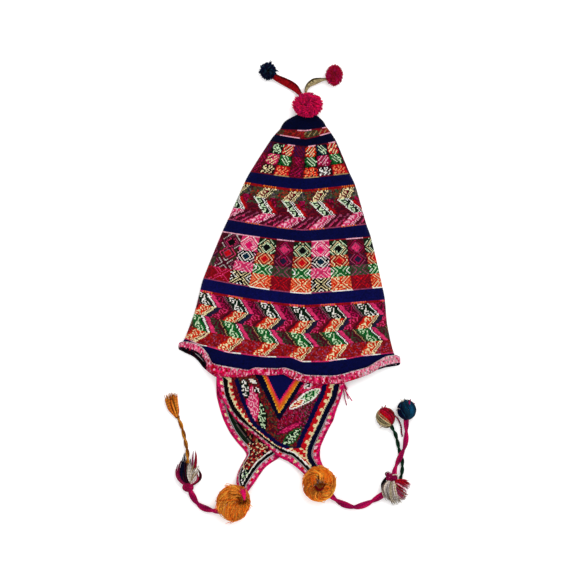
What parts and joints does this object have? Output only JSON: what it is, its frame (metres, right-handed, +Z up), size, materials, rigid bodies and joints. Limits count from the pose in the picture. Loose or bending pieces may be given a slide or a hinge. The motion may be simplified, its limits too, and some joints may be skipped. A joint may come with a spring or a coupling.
{
  "type": "chullo hat",
  "caption": "Tall knitted hat with ear flaps, laid flat, with patterned bands, a pompom at its tip, a pompom on each flap and tie cords with tassels and yarn balls.",
  "frame": {"origin": "on the surface it lies on, under the crown's lower layer, in the middle of the mouth and 20 mm in from the hem", "axes": "+Y from the mouth to the tip, +Z up from the surface, +X to the right as seen from above with the tip away from the viewer"},
  "size_m": [0.3243, 0.594, 0.033],
  "materials": {
    "navy_knit": "knit",
    "edging_knit": "knit",
    "flap_knit": "knit",
    "magenta_yarn": "twisted wool yarn",
    "pink_pompom_yarn": "cut wool yarn",
    "navy_pompom_yarn": "cut wool yarn",
    "crimson_pompom_yarn": "cut wool yarn",
    "orange_pompom_yarn": "cut wool yarn",
    "orange_yarn": "twisted wool yarn",
    "red_cloth": "folded wool cloth",
    "cream_cloth": "folded wool cloth",
    "green_yarn": "twisted wool yarn",
    "maroon_yarn": "twisted wool yarn",
    "red_white_yarn": "wound wool yarn",
    "teal_yarn": "wound wool yarn",
    "tassel_yarn": "loose wool yarn"
  },
  "bodies": {
    "root": {"crown": "navy_knit", "rim_edging": "edging_knit", "ear_flap_front": "flap_knit", "ear_flap_back": "flap_knit", "flap_edging_front_left": "edging_knit", "flap_edging_front_right": "edging_knit", "flap_edging_back_left": "edging_knit", "flap_edging_back_right": "edging_knit", "apex_pompom": "pink_pompom_yarn", "red_strap": "red_cloth", "cream_strap": "cream_cloth", "navy_pompom": "navy_pompom_yarn", "crimson_pompom": "crimson_pompom_yarn", "orange_pompom_left": "orange_pompom_yarn", "orange_pompom_right": "orange_pompom_yarn", "tie_left": "magenta_yarn", "tassel_left": "tassel_yarn", "orange_braid": "orange_yarn", "end_tassel": "orange_yarn", "tie_right": "magenta_yarn", "tassel_right": "tassel_yarn", "pink_strand": "magenta_yarn", "green_strand": "green_yarn", "thin_strand": "maroon_yarn", "red_white_ball": "red_white_yarn", "teal_ball": "teal_yarn"}
  },
  "joints": []
}
